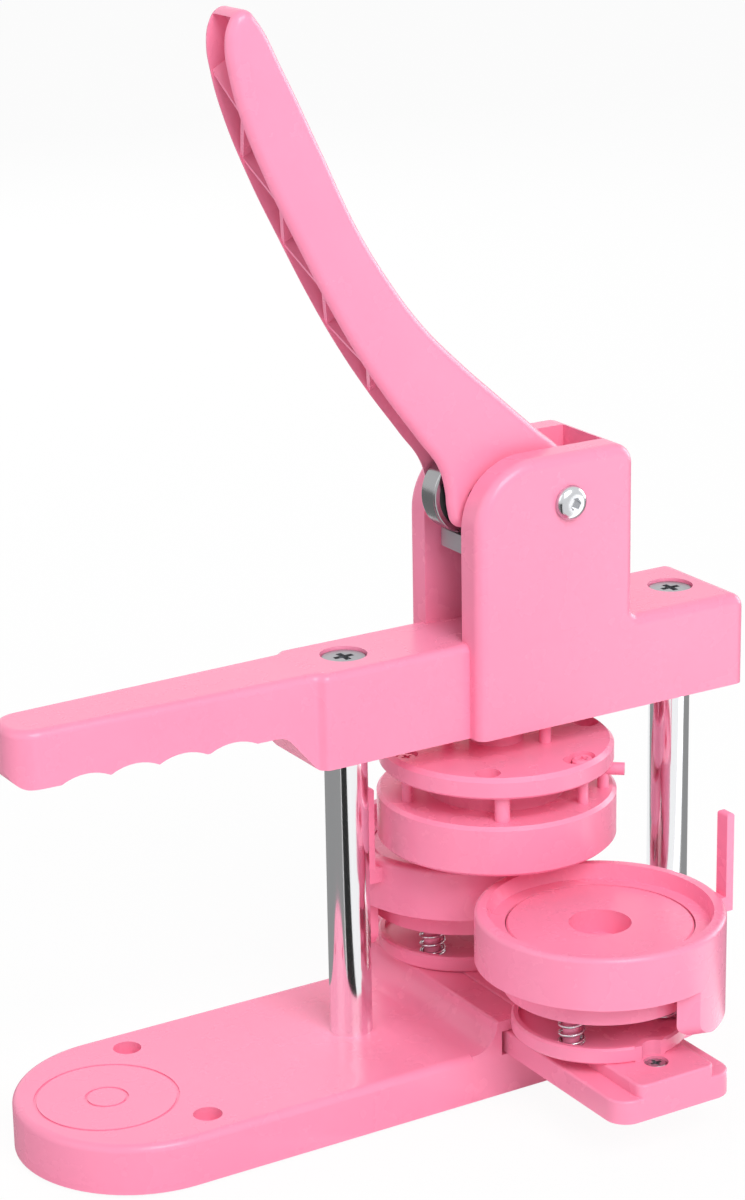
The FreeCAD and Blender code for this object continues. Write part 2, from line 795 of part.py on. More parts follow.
def guide_pins():
    """Two pins that keep the upper die from turning."""
    top = head_z + guide_reach - 6
    return Part.makeCompound([rod(guide_r, plate_top - guide_seat, top, s * guide_x, s * guide_y) for s in (-1, 1)])


def upper_die_core():
    """Puck inside the collar that presses the badge shell."""
    body = turned([(0, upper_core_z), (upper_core_r - 1.2, upper_core_z), (upper_core_r, upper_core_z + 1.2),
                   (upper_core_r, hub_z), (0, hub_z)])
    body = body.cut(rod(ram_head_r + slide_gap + 1, upper_core_z - 1, upper_core_z + core_screw_sink))
    return body.cut(rod(ram_screw_r + slide_gap, upper_core_z, hub_z + 1))


def upper_core_screw():
    """Cap screw from the core through the plate into the ram."""
    seat = upper_core_z + core_screw_sink
    end = plate_z + 2.0 + screw_depth - 1
    screw = turned([(0, seat - 4), (ram_head_r, seat - 4), (ram_head_r, seat), (ram_screw_r, seat),
                    (ram_screw_r, end), (0, end)])
    return screw.cut(rod(1.8, seat - 5, seat - 2))


def upper_collar():
    """Turning collar with three lock posts and a side nub on a tab."""
    inner = collar_r - collar_wall
    body = turned([(inner + 1.0, collar_z), (collar_r - 1.0, collar_z), (collar_r, collar_z + 1.0),
                   (collar_r, collar_top - 1.2), (collar_r - 1.2, collar_top), (inner, collar_top),
                   (inner, collar_z + 1.0)])
    posts = [rod(lock_post_r, collar_top - 1, plate_z - slide_gap, *polar(lock_circle, angle))
             for angle in thirds(lock_first)]
    tab_x, tab_y = polar(tab_circle, nub_angle)
    posts.append(rod(nub_r - 0.2, collar_top - 1, plate_z - slide_gap, tab_x, tab_y))
    out_x, out_y = polar(1.0, nub_angle)
    nub = Part.makeCylinder(nub_r, nub_end - tab_circle, V(tab_x, tab_y, plate_z - 0.5 - nub_r), V(out_x, out_y, 0))
    body = fused([body] + posts + [nub])
    for angle in thirds(hanger_first):
        body = body.cut(rod(hanger_shank_r + press_gap, collar_top - hanger_bite - 1, collar_top + 1,
                           *polar(lock_circle, angle)))
    return body


def collar_hanger_screws():
    """Screws that hang the collar from the plate and ride in its slots."""
    screws = []
    seat = hanger_seat + 0.1
    end = collar_top - hanger_bite
    for angle in thirds(hanger_first):
        x, y = polar(lock_circle, angle)
        screw = turned([(0, end), (hanger_shank_r, end), (hanger_shank_r, seat),
                        (hanger_head_r, seat), (hanger_head_r, seat + hanger_head - 0.8),
                        (hanger_head_r - 0.8, seat + hanger_head), (0, seat + hanger_head)], x, y)
        screws.append(screw.cut(cross_recess(x, y, seat + hanger_head, 1.8, 1.2)))
    return Part.makeCompound(screws)


def die_places():
    """Centre and outward side of the two dies."""
    return ((front_die_x, 1), (rear_die_x, -1))


def slide_plate():
    """Flanged slide with a raised rib that carries both dies."""
    left = rear_die_x - slide_end
    right = front_die_x + slide_end
    flange = slab_z([(left, -slot_half, slide_corner), (right, -slot_half, slide_corner),
                     (right, slot_half, slide_corner), (left, slot_half, slide_corner)], slide_z, flange_z)
    flange = soften(flange, 0.8, lambda e: level_edge(e, flange_z))
    half = lip_half - slide_gap
    rib = slab_z([(left, -half, 3), (right, -half, 3), (right, half, 3), (left, half, 3)], slide_z, rib_z)
    rib = soften(rib, 0.8, lambda e: level_edge(e, rib_z))
    body = fused([flange, rib])
    for x, side in die_places():
        stop_x = x + side * stop_reach
        body = body.cut(rod(stop_r + press_gap, slide_z - 1, rib_z + 1, stop_x, 0))
        body = body.cut(rod(stop_head_r + slide_gap, rib_z - stop_head - 0.4, rib_z + 1, stop_x, 0))
        for y in (-tray_screw_y, tray_screw_y):
            body = body.cut(rod(tray_screw_r + slide_gap, slide_z - 1, rib_z + 1, x, y))
            body = body.cut(rod(tray_screw_head_r + slide_gap, slide_z - 1, slide_z + tray_screw_head, x, y))
        for angle in thirds(leg_first):
            leg_x, leg_y = polar(leg_circle, angle)
            body = body.cut(rod(core_screw_head_r + slide_gap, rib_z - 0.6, rib_z + 1, x + leg_x, leg_y))
    return body


def stop_screws():
    """Screws whose tips meet the ends of the floor grooves."""
    screws = []
    for x, side in die_places():
        seat = rib_z - stop_head - 0.4
        tip = slide_z - stop_tip
        stop_x = x + side * stop_reach
        screw = turned([(0, tip), (stop_r - 0.4, tip), (stop_r, tip + 0.4), (stop_r, seat), (stop_head_r, seat),
                        (stop_head_r, seat + stop_head - 0.7), (stop_head_r - 0.7, seat + stop_head),
                        (0, seat + stop_head)], stop_x, 0)
        screws.append(screw.cut(cross_recess(stop_x, 0, seat + stop_head, 1.9, 1.2)))
    return Part.makeCompound(screws)


def tray_screws():
    """Cap screws from under the slide into the trays."""
    screws = []
    for x, side in die_places():
        for y in (-tray_screw_y, tray_screw_y):
            seat = slide_z + tray_screw_head
            end = rib_z + tray_screw_bite
            screws.append(turned([(0, slide_z + 0.3), (tray_screw_head_r, slide_z + 0.3), (tray_screw_head_r, seat),
                                  (tray_screw_r, seat), (tray_screw_r, end), (0, end)], x, y))
    return Part.makeCompound(screws)


def tray(x, side):
    """Round tray with a raised rim and a notch beside the stop screw."""
    body = turned([(0, tray_z), (tray_r - 0.6, tray_z), (tray_r, tray_z + 0.6), (tray_r, tray_top - 0.7),
                   (tray_r - 0.7, tray_top), (tray_r - tray_rim, tray_top), (tray_r - tray_rim, seat_z),
                   (0, seat_z)], x, 0)
    boss = rod(stop_head_r + 3.0, tray_z, tray_top, x + side * stop_reach, 0)
    body = body.fuse(boss.common(rod(tray_r, tray_z, tray_top, x, 0)))
    body = body.cut(rod(stop_head_r + 0.9, tray_z - 1, tray_top + 1, x + side * stop_reach, 0))
    for y in (-tray_screw_y, tray_screw_y):
        body = body.cut(rod(tray_screw_r + press_gap, tray_z - 1, rib_z + tray_screw_bite + 0.5, x, y))
    for angle in thirds(leg_first):
        leg_x, leg_y = polar(leg_circle, angle)
        body = body.cut(rod(core_screw_r + slide_gap, tray_z - 1, tray_top, x + leg_x, leg_y))
        spring_room = die_spring_r + die_spring_wire / 2 + slide_gap
        body = body.cut(rod(spring_room, seat_z, tray_top + 1, x + leg_x, leg_y))
        body = body.cut(rod(core_screw_head_r + slide_gap, tray_z - 1, tray_z + core_screw_head, x + leg_x, leg_y))
    return body


def core(x):
    """Lower core: a puck with a round hole on three legs."""
    body = turned([(core_hole_r, core_top), (core_r - 0.5, core_top), (core_r, core_top - 0.5), (core_r, core_z),
                   (0, core_z), (0, core_top - core_hole_depth), (core_hole_r, core_top - core_hole_depth)], x, 0)
    for angle in thirds(leg_first):
        leg_x, leg_y = polar(leg_circle, angle)
        body = body.fuse(rod(leg_r, seat_z, core_z + 1, x + leg_x, leg_y))
    for angle in thirds(leg_first):
        leg_x, leg_y = polar(leg_circle, angle)
        body = body.cut(rod(core_screw_r + press_gap, seat_z - 1, seat_z + core_screw_bite + 0.5, x + leg_x, leg_y))
    return body


def core_screws():
    """Screws from under the trays into the legs of the cores."""
    screws = []
    for x, side in die_places():
        for angle in thirds(leg_first):
            leg_x, leg_y = polar(leg_circle, angle)
            seat = tray_z + core_screw_head
            screws.append(turned([(0, tray_z), (core_screw_head_r, tray_z), (core_screw_head_r, seat),
                                  (core_screw_r, seat), (core_screw_r, seat_z + core_screw_bite),
                                  (0, seat_z + core_screw_bite)],
                                 x + leg_x, leg_y))
    return Part.makeCompound(screws)


def die_springs(name, x):
    """Springs round the legs of one die."""
    springs = []
    for angle in thirds(leg_first):
        leg_x, leg_y = polar(leg_circle, angle)
        springs.append(coil(name, die_spring_r, die_spring_wire, die_spring_turns, seat_z, drum_z, x + leg_x, leg_y))
    return Part.makeCompound(springs)


def die_ring(x, hand):
    """Sprung ring with a stepped recess, a low apron on one side and a tall finger."""
    bore = core_r + slide_gap + run_gap
    step_z = core_z - slide_gap
    drum_in = drum_r - 3.2
    body = turned([(bore, ledge_z), (recess_r, ledge_z), (recess_r + 1.0, rim_z), (ring_r, rim_z), (ring_r, ring_z),
                   (drum_r, ring_z), (drum_r, drum_z), (core_hole_r, drum_z), (core_hole_r, drum_z + drum_floor),
                   (drum_in, drum_z + drum_floor), (drum_in, step_z), (bore, step_z)])
    body = soften(body, ring_round, lambda e: level_edge(e, rim_z) and e.BoundBox.XMax > ring_r - 0.1)
    low = ring_z - apron_drop
    start = apron_from if hand > 0 else rear_apron_from
    chord = ring_r * math.sin(math.radians((apron_to - start) / 2))
    window = slab_x([(-chord, ring_z + 2, 0), (chord, ring_z + 2, 0), (chord, low, 6), (-chord, low, 6)], 0, ring_r + 1)
    apron = window.common(tube(ring_r, apron_in, low - 1, ring_z + 3))
    apron.rotate(V(0, 0, 0), V(0, 0, 1), (start + apron_to) / 2)
    inner = collar_r + finger_gap
    side = (finger_x - finger_wide / 2, finger_x + finger_wide / 2)
    finger = box(*side, inner, inner + finger_thick, rim_z - 7, rim_z + finger_rise)
    finger = soften(finger, 1.0, lambda e: level_edge(e, rim_z + finger_rise))
    finger = finger.fuse(box(*side, recess_r + 1.5, inner + 1, rim_z - 7, rim_z - ring_round - 0.2))
    body = fused([body, apron, finger])
    if hand < 0:
        body = body.mirror(V(0, 0, 0), V(0, 1, 0))
    for angle in thirds(leg_first):
        body = body.cut(rod(leg_r + slide_gap, drum_z - 1, drum_z + drum_floor + 1, *polar(leg_circle, angle)))
    body.translate(V(x, 0, 0))
    return body


def ram_return_spring():
    """Spring that lifts the ram."""
    return coil("ram spring", ram_spring_r, ram_spring_wire, ram_spring_turns, head_top, ram_plate_z, 0, 0)


def all_nodes():
    """Every piece under its own name."""
    return {
        "base": base_piece(),
        "rubber_feet": rubber_feet(),
        "front_column": column(column_front_y),
        "rear_column": column(column_rear_y),
        "column_base_screws": column_base_screws(),
        "column_top_screws": column_top_screws(),
        "press_head": press_head(),
        "ram_bush": ram_bush(),
        "pivot_bolt": pivot_bolt(),
        "pivot_nut": pivot_nut(),
        "lever": lever_piece(),
        "pivot_sleeve": pivot_sleeve(),
        "roller_axle": roller_axle(),
        "axle_spacers": axle_spacers(),
        "bearing_inner_race": bearing_inner_race(),
        "bearing_outer_race": bearing_outer_race(),
        "bearing_seals": bearing_seals(),
        "bearing_balls": bearing_balls(),
        "ram_shaft": ram_shaft(),
        "pressure_plate": pressure_plate(),
        "pressure_plate_screw": pressure_plate_screw(),
        "ram_return_spring": ram_return_spring(),
        "upper_die_plate": upper_die_plate(),
        "guide_pins": guide_pins(),
        "upper_die_core": upper_die_core(),
        "upper_core_screw": upper_core_screw(),
        "upper_collar": upper_collar(),
        "collar_hanger_screws": collar_hanger_screws(),
        "slide_plate": slide_plate(),
        "stop_screws": stop_screws(),
        "tray_screws": tray_screws(),
        "front_tray": tray(front_die_x, 1),
        "rear_tray": tray(rear_die_x, -1),
        "front_core": core(front_die_x),
        "rear_core": core(rear_die_x),
        "core_screws": core_screws(),
        "front_springs": die_springs("front die spring", front_die_x),
        "rear_springs": die_springs("rear die spring", rear_die_x),
        "front_ring": die_ring(front_die_x, 1),
        "rear_ring": die_ring(rear_die_x, -1),
    }


os.makedirs("parts", exist_ok=True)
for name, shape in all_nodes().items():
    print(name, len(shape.Solids), round(shape.Volume), shape.isValid())
    shape.exportStep("parts/" + name + ".step")
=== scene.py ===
# %% [markdown]
# # A button badge maker
# This lesson dresses a pink hand press. The solid model gives every piece its place and its joints,
# so nothing here moves a solid. We add the camera, the light, the finishes, a smoother lever, a pivot bolt
# with a socket and the wound springs.

# %% Load the solid model
import bpy
import bmesh
import json
import math
from mathutils import Matrix, Vector


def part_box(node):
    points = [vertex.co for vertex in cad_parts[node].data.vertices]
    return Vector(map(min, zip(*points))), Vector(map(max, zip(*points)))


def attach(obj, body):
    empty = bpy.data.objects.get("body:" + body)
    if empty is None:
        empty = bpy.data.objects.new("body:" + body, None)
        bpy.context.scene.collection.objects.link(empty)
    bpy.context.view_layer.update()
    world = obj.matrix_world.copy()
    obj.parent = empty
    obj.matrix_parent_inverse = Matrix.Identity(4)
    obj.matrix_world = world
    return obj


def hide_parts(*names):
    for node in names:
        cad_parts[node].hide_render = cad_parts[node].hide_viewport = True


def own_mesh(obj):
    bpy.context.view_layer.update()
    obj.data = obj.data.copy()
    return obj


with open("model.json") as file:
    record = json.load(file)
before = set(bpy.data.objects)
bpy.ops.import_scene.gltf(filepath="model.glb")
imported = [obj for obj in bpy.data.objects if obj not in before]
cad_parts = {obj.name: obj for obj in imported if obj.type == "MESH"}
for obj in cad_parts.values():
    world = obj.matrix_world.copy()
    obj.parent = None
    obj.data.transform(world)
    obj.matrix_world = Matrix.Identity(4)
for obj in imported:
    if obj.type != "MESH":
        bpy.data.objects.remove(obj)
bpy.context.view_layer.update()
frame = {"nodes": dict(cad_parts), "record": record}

# %% [markdown]
# ## Camera
# The photograph was taken with a long lens from the front right, a little above the press head.
# The place and the angles were worked out from the circles of the dies and the straight edges of the
# base, so the lens and the direction are simply written down here.

# %% Place the camera
azimuth = math.radians(59.12)
elevation = math.radians(17.87)
roll = math.radians(-1.04)
camera_place = Vector((0.8039, -0.5271, 0.4651))
lens_mm, film_width_mm = 93.5, 36.0
toward = Vector((math.sin(azimuth) * math.cos(elevation), -math.cos(azimuth) * math.cos(elevation),
                 math.sin(elevation)))
level_right = Vector((math.cos(azimuth), math.sin(azimuth), 0.0))
level_up = toward.cross(level_right)
right = level_right * math.cos(roll) + level_up * math.sin(roll)
up = level_up * math.cos(roll) - level_right * math.sin(roll)
lens_data = bpy.data.cameras.new("photo_camera")
lens_data.lens = lens_mm
lens_data.sensor_width = film_width_mm
lens_data.clip_end = 20.0
camera = bpy.data.objects.new("photo_camera", lens_data)
bpy.context.scene.collection.objects.link(camera)
turn = Matrix((right, up, toward)).transposed().to_4x4()
camera.matrix_world = Matrix.Translation(camera_place) @ turn
bpy.context.scene.camera = camera
print("camera at", tuple(round(v, 3) for v in camera.location))

# %% [markdown]
# ## Floor and light
# The photograph is a cut-out on pure white. A large floor keeps a faint contact shadow, and the world
# shows white to the camera and to mirror-like metal. Four broad lamps shape the plastic: a key
# from the right, a weaker fill from the grip end, one behind so that the far side is lit too, and a rim
# lamp that is met only by reflections and draws the bright line along rounded edges.

# %% Helpers for node materials
def new_material(name):
    """Material with an empty node tree apart from its output."""
    material = bpy.data.materials.new(name)
    material.use_nodes = True
    material.node_tree.nodes.clear()
    return material, material.node_tree.nodes, material.node_tree.links


def white_to_camera(nodes, links, plain_socket, strength):
    """Shader that shows white to the camera and to reflections, and the plain shader to the rest."""
    path = nodes.new("ShaderNodeLightPath")
    seen = nodes.new("ShaderNodeMath")
    seen.operation = "MAXIMUM"
    links.new(path.outputs["Is Camera Ray"], seen.inputs[0])
    links.new(path.outputs["Is Glossy Ray"], seen.inputs[1])
    both = nodes.new("ShaderNodeMath")
    both.operation = "MAXIMUM"
    links.new(seen.outputs[0], both.inputs[0])
    links.new(path.outputs["Is Transmission Ray"], both.inputs[1])
    share = nodes.new("ShaderNodeMath")
    share.operation = "MULTIPLY"
    share.inputs[1].default_value = strength
    links.new(both.outputs[0], share.inputs[0])
    mix = nodes.new("ShaderNodeMixShader")
    links.new(share.outputs[0], mix.inputs["Fac"])
    links.new(plain_socket, mix.inputs[1])
    return mix


# %% Floor
floor_half, floor_grey, floor_white_share = 6.0, 0.96, 0.94
floor_material, nodes, links = new_material("white_floor")
matt = nodes.new("ShaderNodeBsdfDiffuse")
matt.inputs["Color"].default_value = (floor_grey, floor_grey, floor_grey, 1.0)
glow = nodes.new("ShaderNodeEmission")
glow.inputs["Color"].default_value = (1.0, 1.0, 1.0, 1.0)
mixed = white_to_camera(nodes, links, matt.outputs[0], floor_white_share)
links.new(glow.outputs[0], mixed.inputs[2])
surface = nodes.new("ShaderNodeOutputMaterial")
links.new(mixed.outputs[0], surface.inputs["Surface"])
floor_mesh = bpy.data.meshes.new("floor")
sheet = bmesh.new()
bmesh.ops.create_grid(sheet, x_segments=1, y_segments=1, size=floor_half)
sheet.to_mesh(floor_mesh)
sheet.free()
floor = bpy.data.objects.new("floor", floor_mesh)
floor_mesh.materials.append(floor_material)
bpy.context.scene.collection.objects.link(floor)

# %% World
soft_strength, white_strength = 0.42, 1.0
world = bpy.data.worlds.new("studio")
bpy.context.scene.world = world
world.use_nodes = True
nodes, links = world.node_tree.nodes, world.node_tree.links
nodes.clear()
soft = nodes.new("ShaderNodeBackground")
soft.inputs["Color"].default_value = (1.0, 1.0, 1.0, 1.0)
soft.inputs["Strength"].default_value = soft_strength
white = nodes.new("ShaderNodeBackground")
white.inputs["Color"].default_value = (1.0, 1.0, 1.0, 1.0)
white.inputs["Strength"].default_value = white_strength
mixed = white_to_camera(nodes, links, soft.outputs[0], 1.0)
links.new(white.outputs[0], mixed.inputs[2])
sky = nodes.new("ShaderNodeOutputWorld")
links.new(mixed.outputs[0], sky.inputs["Surface"])
print("world", soft_strength, white_strength)

# %% Lamps
press_middle = Vector((0.0, -0.03, 0.14))


def soft_lamp(name, place, size, power):
    """Square lamp that faces the middle of the press."""
    data = bpy.data.lights.new(name, "AREA")
    data.size = size
    data.energy = power
    lamp = bpy.data.objects.new(name, data)
    lamp.location = place
    aim = press_middle - lamp.location
    lamp.rotation_euler = aim.to_track_quat("-Z", "Y").to_euler()
    bpy.context.scene.collection.objects.link(lamp)
    return lamp


soft_lamp("key", Vector((1.32, -0.15, 1.32)), 1.0, 21.5)
soft_lamp("fill", Vector((0.1, -1.5, 1.0)), 1.1, 3.0)
soft_lamp("back", Vector((-1.4, 0.3, 0.9)), 1.1, 9.0).visible_glossy = False
soft_lamp("rim", Vector((0.0, 1.4, 0.3)), 1.0, 12.0).visible_diffuse = False
bpy.context.scene.view_settings.view_transform = "Standard"

# %% [markdown]
# ## Cards for the chrome
# Polished chrome shows only what stands round it, and a table that is white on every side makes it look
# like white paint. Photographers lay dark cards out of sight to draw bands down it. Seen from above, an
# upright column mirrors the table, so these cards lie flat on it. They are met only by reflections: the
# camera never sees them, and they cast no shadow.

# %% Lay the cards
card_near, card_far, card_height, card_steps = 0.05, 2.5, 0.0004, 24


def lay_card(name, first, last, shade):
    """Flat fan on the table between two compass angles, seen only in reflections."""
    material, nodes, links = new_material(name)
    glow = nodes.new("ShaderNodeEmission")
    glow.inputs["Color"].default_value = (shade, shade, shade, 1.0)
    surface = nodes.new("ShaderNodeOutputMaterial")
    links.new(glow.outputs[0], surface.inputs["Surface"])
    sheet = bmesh.new()
    way = Vector((math.cos(math.radians(first)), math.sin(math.radians(first)), 0.0))
    ends = [sheet.verts.new(way * reach + Vector((0, 0, card_height))) for reach in (card_near, card_far)]
    edge = sheet.edges.new(ends)
    bmesh.ops.spin(sheet, geom=[*ends, edge], cent=(0, 0, 0), axis=(0, 0, 1),
                   angle=math.radians(last - first), steps=card_steps, use_merge=False)
    mesh = bpy.data.meshes.new(name)
    sheet.to_mesh(mesh)
    sheet.free()
    mesh.materials.append(material)
    card = bpy.data.objects.new(name, mesh)
    bpy.context.scene.collection.objects.link(card)
    card.visible_camera = False
    card.visible_diffuse = False
    card.visible_shadow = False
    card.visible_transmission = False


lay_card("dark_card", -62.0, -36.0, 0.03)
lay_card("grey_card", -178.0, -64.0, 0.30)
lay_card("side_card", 62.0, 120.0, 0.30)
lay_card("bright_card", 34.0, 58.0, 2.2)
print("four cards laid")

# %% [markdown]
# ## Pink moulded plastic
# The press is moulded in one pink ABS. Real mouldings are never quite even: the colour drifts a little
# with wall thickness, the gloss changes in soft patches, and a very fine texture breaks the highlights.
# Noise on Object coordinates gives all three at real scale.

# %% Finish helper
drift_scale, patch_scale, relief_depth, shine = 28.0, 90.0, 0.0002, 0.4


def finish(name, light, dark, rough_low, rough_high, metal, grain, relief, stretch=(1, 1, 1)):
    """Procedural finish: two tones of colour, a patchy gloss and a fine relief."""
    material, nodes, links = new_material(name)
    place = nodes.new("ShaderNodeTexCoord")
    scale = nodes.new("ShaderNodeMapping")
    scale.inputs["Scale"].default_value = stretch
    links.new(place.outputs["Object"], scale.inputs["Vector"])
    drift = nodes.new("ShaderNodeTexNoise")
    drift.inputs["Scale"].default_value = drift_scale
    drift.inputs["Detail"].default_value = 4.0
    links.new(scale.outputs[0], drift.inputs["Vector"])
    tone = nodes.new("ShaderNodeValToRGB")
    tone.color_ramp.elements[0].position = 0.32
    tone.color_ramp.elements[0].color = (*dark, 1.0)
    tone.color_ramp.elements[1].position = 0.68
    tone.color_ramp.elements[1].color = (*light, 1.0)
    links.new(drift.outputs["Fac"], tone.inputs["Fac"])
    patch = nodes.new("ShaderNodeTexNoise")
    patch.inputs["Scale"].default_value = patch_scale
    patch.inputs["Detail"].default_value = 5.0
    links.new(scale.outputs[0], patch.inputs["Vector"])
    gloss = nodes.new("ShaderNodeMapRange")
    gloss.inputs["To Min"].default_value = rough_low
    gloss.inputs["To Max"].default_value = rough_high
    links.new(patch.outputs["Fac"], gloss.inputs["Value"])
    fine = nodes.new("ShaderNodeTexNoise")
    fine.inputs["Scale"].default_value = grain
    fine.inputs["Detail"].default_value = 3.0
    links.new(scale.outputs[0], fine.inputs["Vector"])
    bump = nodes.new("ShaderNodeBump")
    bump.inputs["Strength"].default_value = relief
    bump.inputs["Distance"].default_value = relief_depth
    links.new(fine.outputs["Fac"], bump.inputs["Height"])
    shader = nodes.new("ShaderNodeBsdfPrincipled")
    shader.inputs["Metallic"].default_value = metal
    shader.inputs["Specular IOR Level"].default_value = shine
    links.new(tone.outputs["Color"], shader.inputs["Base Color"])
    links.new(gloss.outputs[0], shader.inputs["Roughness"])
    links.new(bump.outputs[0], shader.inputs["Normal"])
    surface = nodes.new("ShaderNodeOutputMaterial")
    links.new(shader.outputs[0], surface.inputs["Surface"])
    print("finish", name)
    return material


pink = finish("pink_plastic", (1.0, 0.312, 0.486), (0.985, 0.298, 0.470), 0.24, 0.30, 0.0, 2600.0, 0.04)

# %% [markdown]
# ## Metals and rubber
# The columns are polished chrome and the screws are duller zinc. The pressure plate is milled metal, the bearing
# races are a darker steel, and the springs and the ram are bright steel. The seals and feet are black rubber, the
# ram bush is bronze.

# %% Metal and rubber finishes
chrome = finish("column_chrome", (0.90, 0.91, 0.92), (0.84, 0.85, 0.87),
                0.09, 0.13, 1.0, 900.0, 0.01, (1, 1, 0.05))
zinc = finish("zinc_plate", (0.46, 0.47, 0.49), (0.34, 0.35, 0.37), 0.26, 0.42, 1.0, 1800.0, 0.12)
steel = finish("bright_steel", (0.70, 0.71, 0.73), (0.58, 0.59, 0.61), 0.14, 0.26, 1.0, 1500.0, 0.06)
race_steel = finish("race_steel", (0.40, 0.40, 0.41), (0.31, 0.31, 0.32),
                    0.16, 0.26, 1.0, 1200.0, 0.05, (0.1, 1, 1))
milled = finish("milled_plate", (0.62, 0.62, 0.65), (0.44, 0.44, 0.47),
                0.34, 0.5, 1.0, 1500.0, 0.35, (1, 0.2, 1))
rubber = finish("black_rubber", (0.02, 0.02, 0.021), (0.012, 0.012, 0.013), 0.6, 0.8, 0.0, 1400.0, 0.3)
bronze = finish("bush_bronze", (0.6, 0.42, 0.2), (0.48, 0.32, 0.15), 0.3, 0.45, 1.0, 1600.0, 0.15)
by_slot = {"pink_abs": pink, "chrome_steel": chrome, "zinc_steel": zinc, "bright_steel": steel,
           "black_rubber": rubber, "bronze": bronze}
by_node = {"bearing_outer_race": race_steel, "bearing_inner_race": race_steel, "pressure_plate": milled}

# %% Dress the solids
slot_of = {entry["node"]: entry["material_slot"] for entry in frame["record"]["subparts"]}
for node, thing in frame["nodes"].items():
    finish_here = by_node.get(node, by_slot[slot_of[node]])
    if not thing.material_slots:
        thing.data.materials.append(finish_here)
    for place in thing.material_slots:
        place.material = finish_here
print("dressed", len(slot_of), "solids")

# %% [markdown]
# ## Pivot bolt
# The lever turns on a button-head bolt: a low dome with a hexagon socket. The dome is a side profile spun
# round an axis, and the socket is a six-sided plug taken out of it with a Boolean, because a spin can only
# make round shapes. The bolt is made standing up and then laid along the X axis.

# %% Helpers for turned pieces
def spun(profile, steps=64):
    """Closed round shape round Z from a side profile of (radius, height) points."""
    shape = bmesh.new()
    line = [shape.verts.new((radius, 0.0, height)) for radius, height in profile]
    edges = [shape.edges.new(pair) for pair in zip(line, line[1:])]
    bmesh.ops.spin(shape, geom=[*line, *edges], cent=(0, 0, 0), axis=(0, 0, 1), angle=2 * math.pi, steps=steps,
                   use_merge=True)
    bmesh.ops.remove_doubles(shape, verts=shape.verts, dist=1e-6)
    bmesh.ops.recalc_face_normals(shape, faces=shape.faces)
    return shape


def to_object(name, shape, place):
    """Object at the origin whose mesh is the shape moved by a matrix."""
    bmesh.ops.transform(shape, matrix=place, verts=shape.verts)
    mesh = bpy.data.meshes.new(name)
    shape.to_mesh(mesh)
    shape.free()
    thing = bpy.data.objects.new(name, mesh)
    bpy.context.scene.collection.objects.link(thing)
    return thing


def mesh_now(thing):
    """New mesh of the thing as its curve settings or modifiers make it."""
    bpy.context.view_layer.update()
    return bpy.data.meshes.new_from_object(thing.evaluated_get(bpy.context.evaluated_depsgraph_get()))


def mesh_of_curve(name, curve):
    """Mesh of a curve, which needs an object for as long as it is worked out."""
    drawn = bpy.data.objects.new(name + "_line", curve)
    bpy.context.scene.collection.objects.link(drawn)
    mesh = mesh_now(drawn)
    bpy.data.objects.remove(drawn)
    return mesh


def cut_away(thing, cutter):
    """Takes the cutter's shape out of the thing for good, and removes the cutter."""
    step = thing.modifiers.new("cut", "BOOLEAN")
    step.operation = "DIFFERENCE"
    step.object = cutter
    step.solver = "MANIFOLD"
    result = mesh_now(thing)
    thing.modifiers.clear()
    thing.data = result
    bpy.data.objects.remove(cutter)


def finish_piece(piece, material, body, crease=32):
    """Smooth shading with crisp corners above an angle, its finish, and the body it rides on."""
    for face in piece.data.polygons:
        face.use_smooth = True
    piece.data.set_sharp_from_angle(angle=math.radians(crease))
    piece.data.materials.clear()
    piece.data.materials.append(material)
    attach(piece, body)


# %% Turn the bolt
pivot_y, pivot_z, cheek_x = 0.0146, 0.1903, 0.0211
head_radius, dome_rise, shank_radius, shank_length = 0.0057, 0.0026, 0.003, 0.0408
crown, rim_height, rim_round = 0.0027, 0.0005, 0.0002
socket_bottom, socket_top, socket_depth, socket_middle = 0.0021, 0.0024, 0.004, 0.0033
quarter = [math.radians(t) for t in range(0, 91, 10)]
dome = [(crown + (head_radius - crown) * math.cos(t), rim_height + dome_rise * math.sin(t)) for t in quarter]
profile = [(0.0, -shank_length), (shank_radius, -shank_length), (shank_radius, 0.0),
           (head_radius - rim_round, 0.0), *dome, (0.0, rim_height + dome_rise)]
lay_along_x = Matrix.Translation((cheek_x, pivot_y, pivot_z)) @ Matrix.Rotation(math.radians(90), 4, "Y")
bolt = to_object("pivot_button_bolt", spun(profile), lay_along_x)
plug = bmesh.new()
bmesh.ops.create_cone(plug, cap_ends=True, segments=6, radius1=socket_bottom, radius2=socket_top,
                      depth=socket_depth, matrix=Matrix.Translation((0, 0, socket_middle)))
cut_away(bolt, to_object("socket_plug", plug, lay_along_x))
finish_piece(bolt, steel, "frame", crease=35)
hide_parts("pivot_bolt")
print("bolt faces", len(bolt.data.polygons))

# %% [markdown]
# ## Lever
# The lever is one smooth moulding: a channel with a soft back edge, open toward the grip, with thin ribs
# that zigzag between its side walls. The solid model has the same lever with plainer bends. Here a flat
# Bezier outline in the side view is given thickness and a round edge by its own bevel, and the channel and
# the two bores are taken out of it. The ribs and the hub are pieces of their own on the same body.

